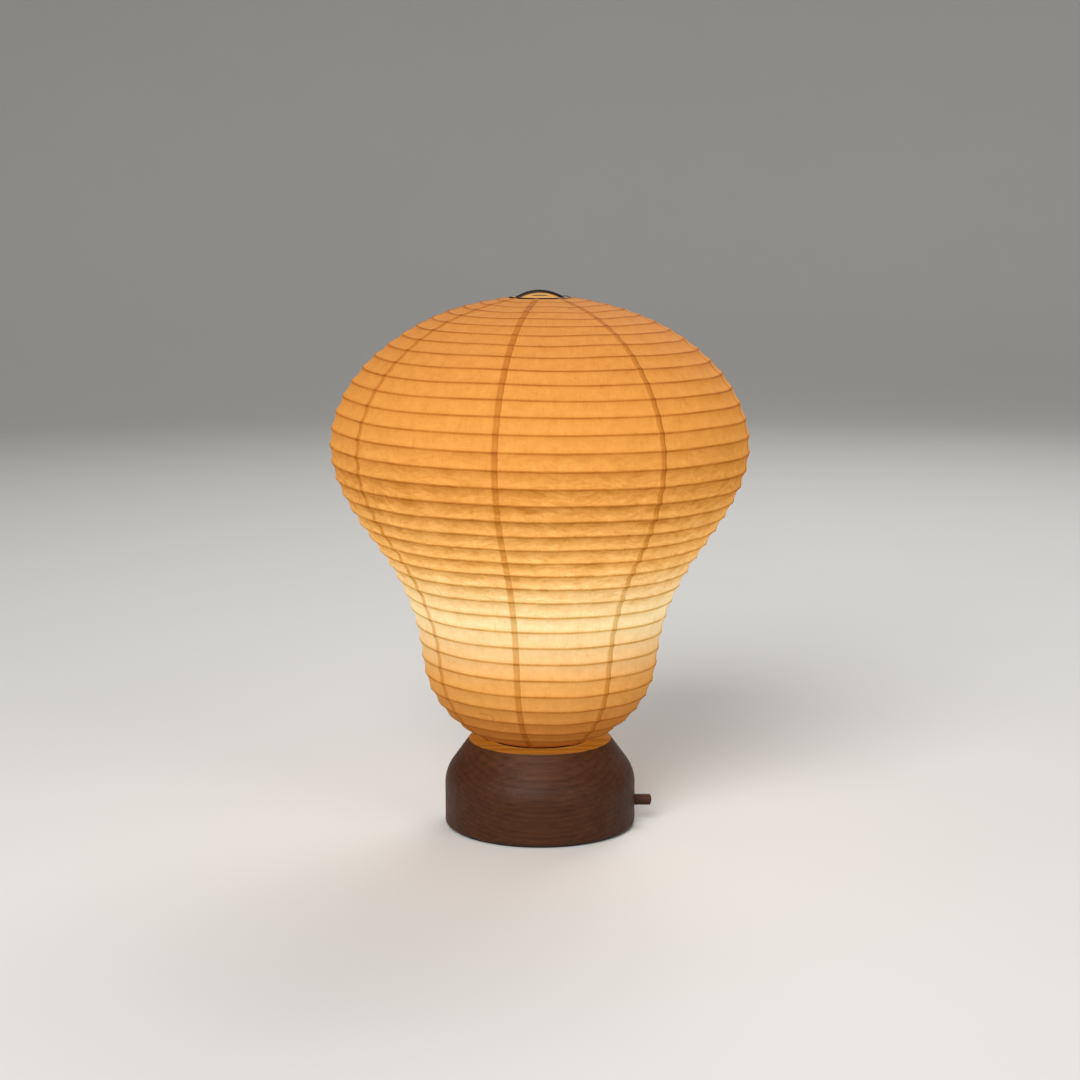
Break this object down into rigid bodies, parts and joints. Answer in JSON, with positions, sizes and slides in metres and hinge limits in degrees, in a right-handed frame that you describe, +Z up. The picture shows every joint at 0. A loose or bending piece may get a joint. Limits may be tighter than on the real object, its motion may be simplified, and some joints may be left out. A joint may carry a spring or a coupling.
{
  "type": "table lamp",
  "caption": "Small table lamp: gourd-shaped paper shade on a wire spiral, hung on a wire harp over a turned wooden base with a push switch peg at its side.",
  "frame": {"origin": "centre of the base's underside, on the surface that the lamp stands on", "axes": "+Z up along the lamp's axis, +X towards the switch peg, +Y towards the cord inlet at the back"},
  "size_m": [0.216, 0.216, 0.2806],
  "materials": {
    "dark_wood": "satin",
    "felt": "matte",
    "bottom_board": "matte",
    "steel": "satin",
    "ballast_iron": "matte",
    "black_plastic": "satin",
    "white_plastic": "satin",
    "brass": "satin",
    "porcelain": "satin",
    "solder": "satin",
    "black_glass": "gloss",
    "nickelled_brass": "satin",
    "board_aluminium": "matte",
    "phosphor": "matte",
    "board_green": "satin",
    "opal": "satin",
    "lead_white": "matte",
    "lead_brown": "matte",
    "wire_steel": "satin",
    "spiral_steel": "satin",
    "shade_paper": "matte"
  },
  "bodies": {
    "base": {"wooden_base": "dark_wood", "felt_ring": "felt", "bottom_cover": "bottom_board", "cover_screws": "steel", "ballast_disc": "ballast_iron", "ballast_bolt": "steel", "cord_bushing": "black_plastic", "terminal_block": "white_plastic", "terminal_screws": "brass", "switch_body": "black_plastic", "switch_screws": "steel", "nipple": "steel", "nipple_washer": "steel", "nipple_nut": "steel", "nipple_collar": "brass", "holder_nut": "steel", "holder_cup": "black_plastic", "holder_insulator": "porcelain", "holder_shell": "brass", "holder_tongue": "brass", "lead_neutral": "lead_white", "lead_switched": "lead_brown", "lead_live": "lead_brown", "harp_ferrules": "brass", "harp": "wire_steel"},
    "button": {"switch_peg": "dark_wood", "switch_plunger": "white_plastic"},
    "bulb": {"bulb_tip": "solder", "bulb_insulator": "black_glass", "bulb_cap": "nickelled_brass", "bulb_housing": "white_plastic", "bulb_board": "board_aluminium", "bulb_leds": "phosphor", "bulb_driver": "board_green", "bulb_globe": "opal"},
    "shade": {"top_ring": "wire_steel", "bottom_ring": "wire_steel", "spiral_wire": "spiral_steel", "paper_panel_1": "shade_paper", "paper_panel_2": "shade_paper", "paper_panel_3": "shade_paper", "paper_panel_4": "shade_paper", "paper_panel_5": "shade_paper", "paper_panel_6": "shade_paper", "paper_panel_7": "shade_paper", "paper_panel_8": "shade_paper"}
  },
  "joints": [
    {"name": "button_push", "type": "slide", "parent": "base", "child": "button", "axis": [-1, 0, 0], "range_m": [0, 0.003], "stiffness_N_per_m": 500, "springref_m": -0.002},
    {"name": "bulb_unscrew", "type": "slide", "parent": "base", "child": "bulb", "axis": [0, 0, 1], "range_m": [0, 0.021]},
    {"name": "shade_lift", "type": "slide", "parent": "base", "child": "shade", "axis": [0, 0, 1], "range_m": [0, 0.236]}
  ]
}
